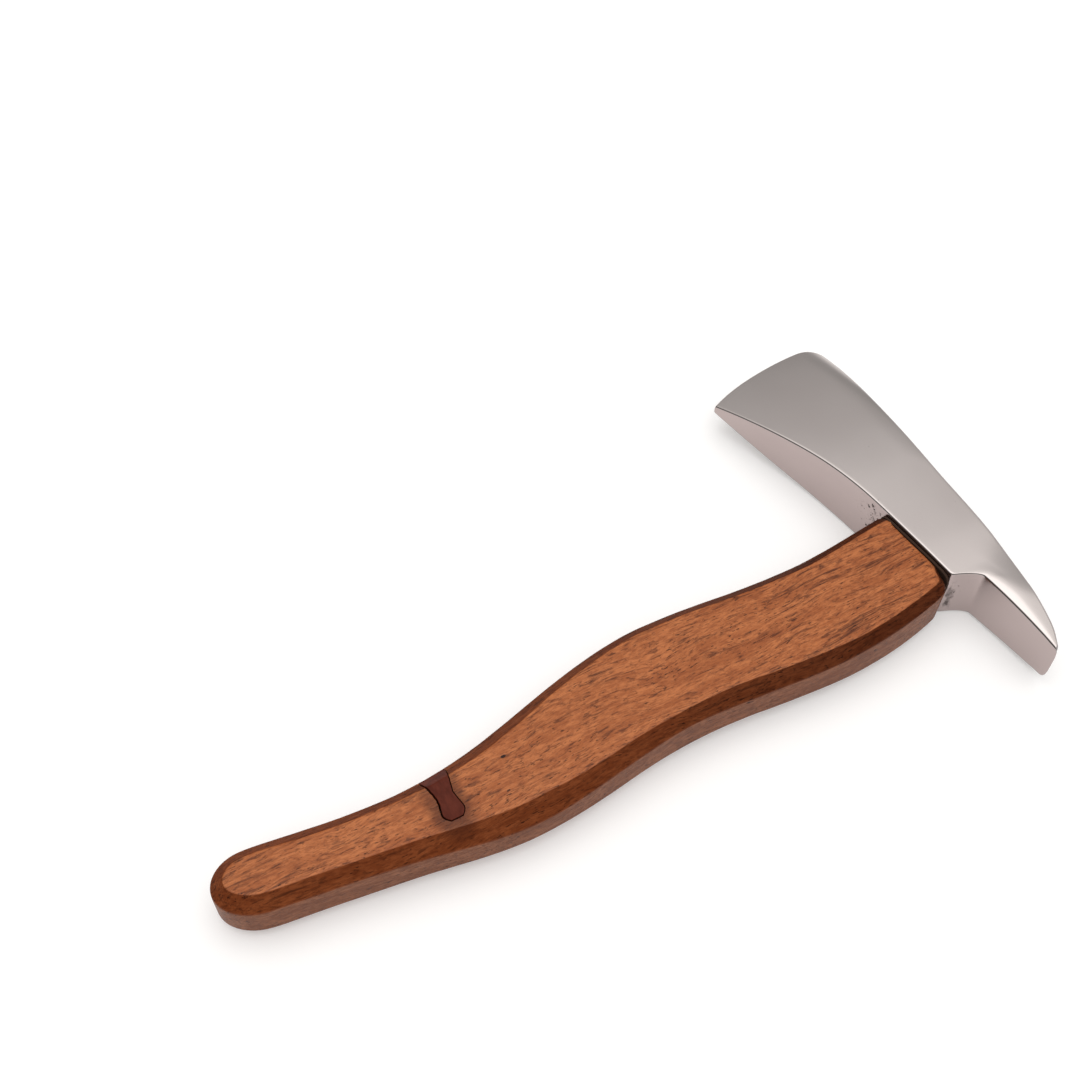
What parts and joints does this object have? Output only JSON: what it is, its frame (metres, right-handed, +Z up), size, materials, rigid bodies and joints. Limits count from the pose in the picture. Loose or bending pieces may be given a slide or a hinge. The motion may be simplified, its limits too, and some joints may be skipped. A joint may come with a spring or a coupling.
{
  "type": "hand axe",
  "caption": "Hand axe with a polished steel head, a tapering poll and a waisted eight-sided hardwood handle, lying on its side.",
  "frame": {"origin": "middle of the bounding box's base, on the surface that the tool lies on", "axes": "+X along the handle from the butt to the head, +Y towards the cutting edge, +Z up through the thickness; at rest the middle plane leans by a third of a degree, because the head is thicker than the handle"},
  "size_m": [0.3792, 0.2072, 0.0306],
  "materials": {
    "polished_steel": "buffed, satin to mirror",
    "handle_wood": "varnished, semi-gloss",
    "dark_adhesive": "dull",
    "wedge_wood": "end grain, oiled",
    "wedge_steel": "ground",
    "knot_filler": "smooth, semi-gloss"
  },
  "bodies": {
    "root": {"head": "polished_steel", "handle": "handle_wood", "shoulder_bedding": "dark_adhesive", "kerf_wedge": "wedge_wood", "steel_wedge": "wedge_steel", "knot_fill": "knot_filler"}
  },
  "joints": []
}
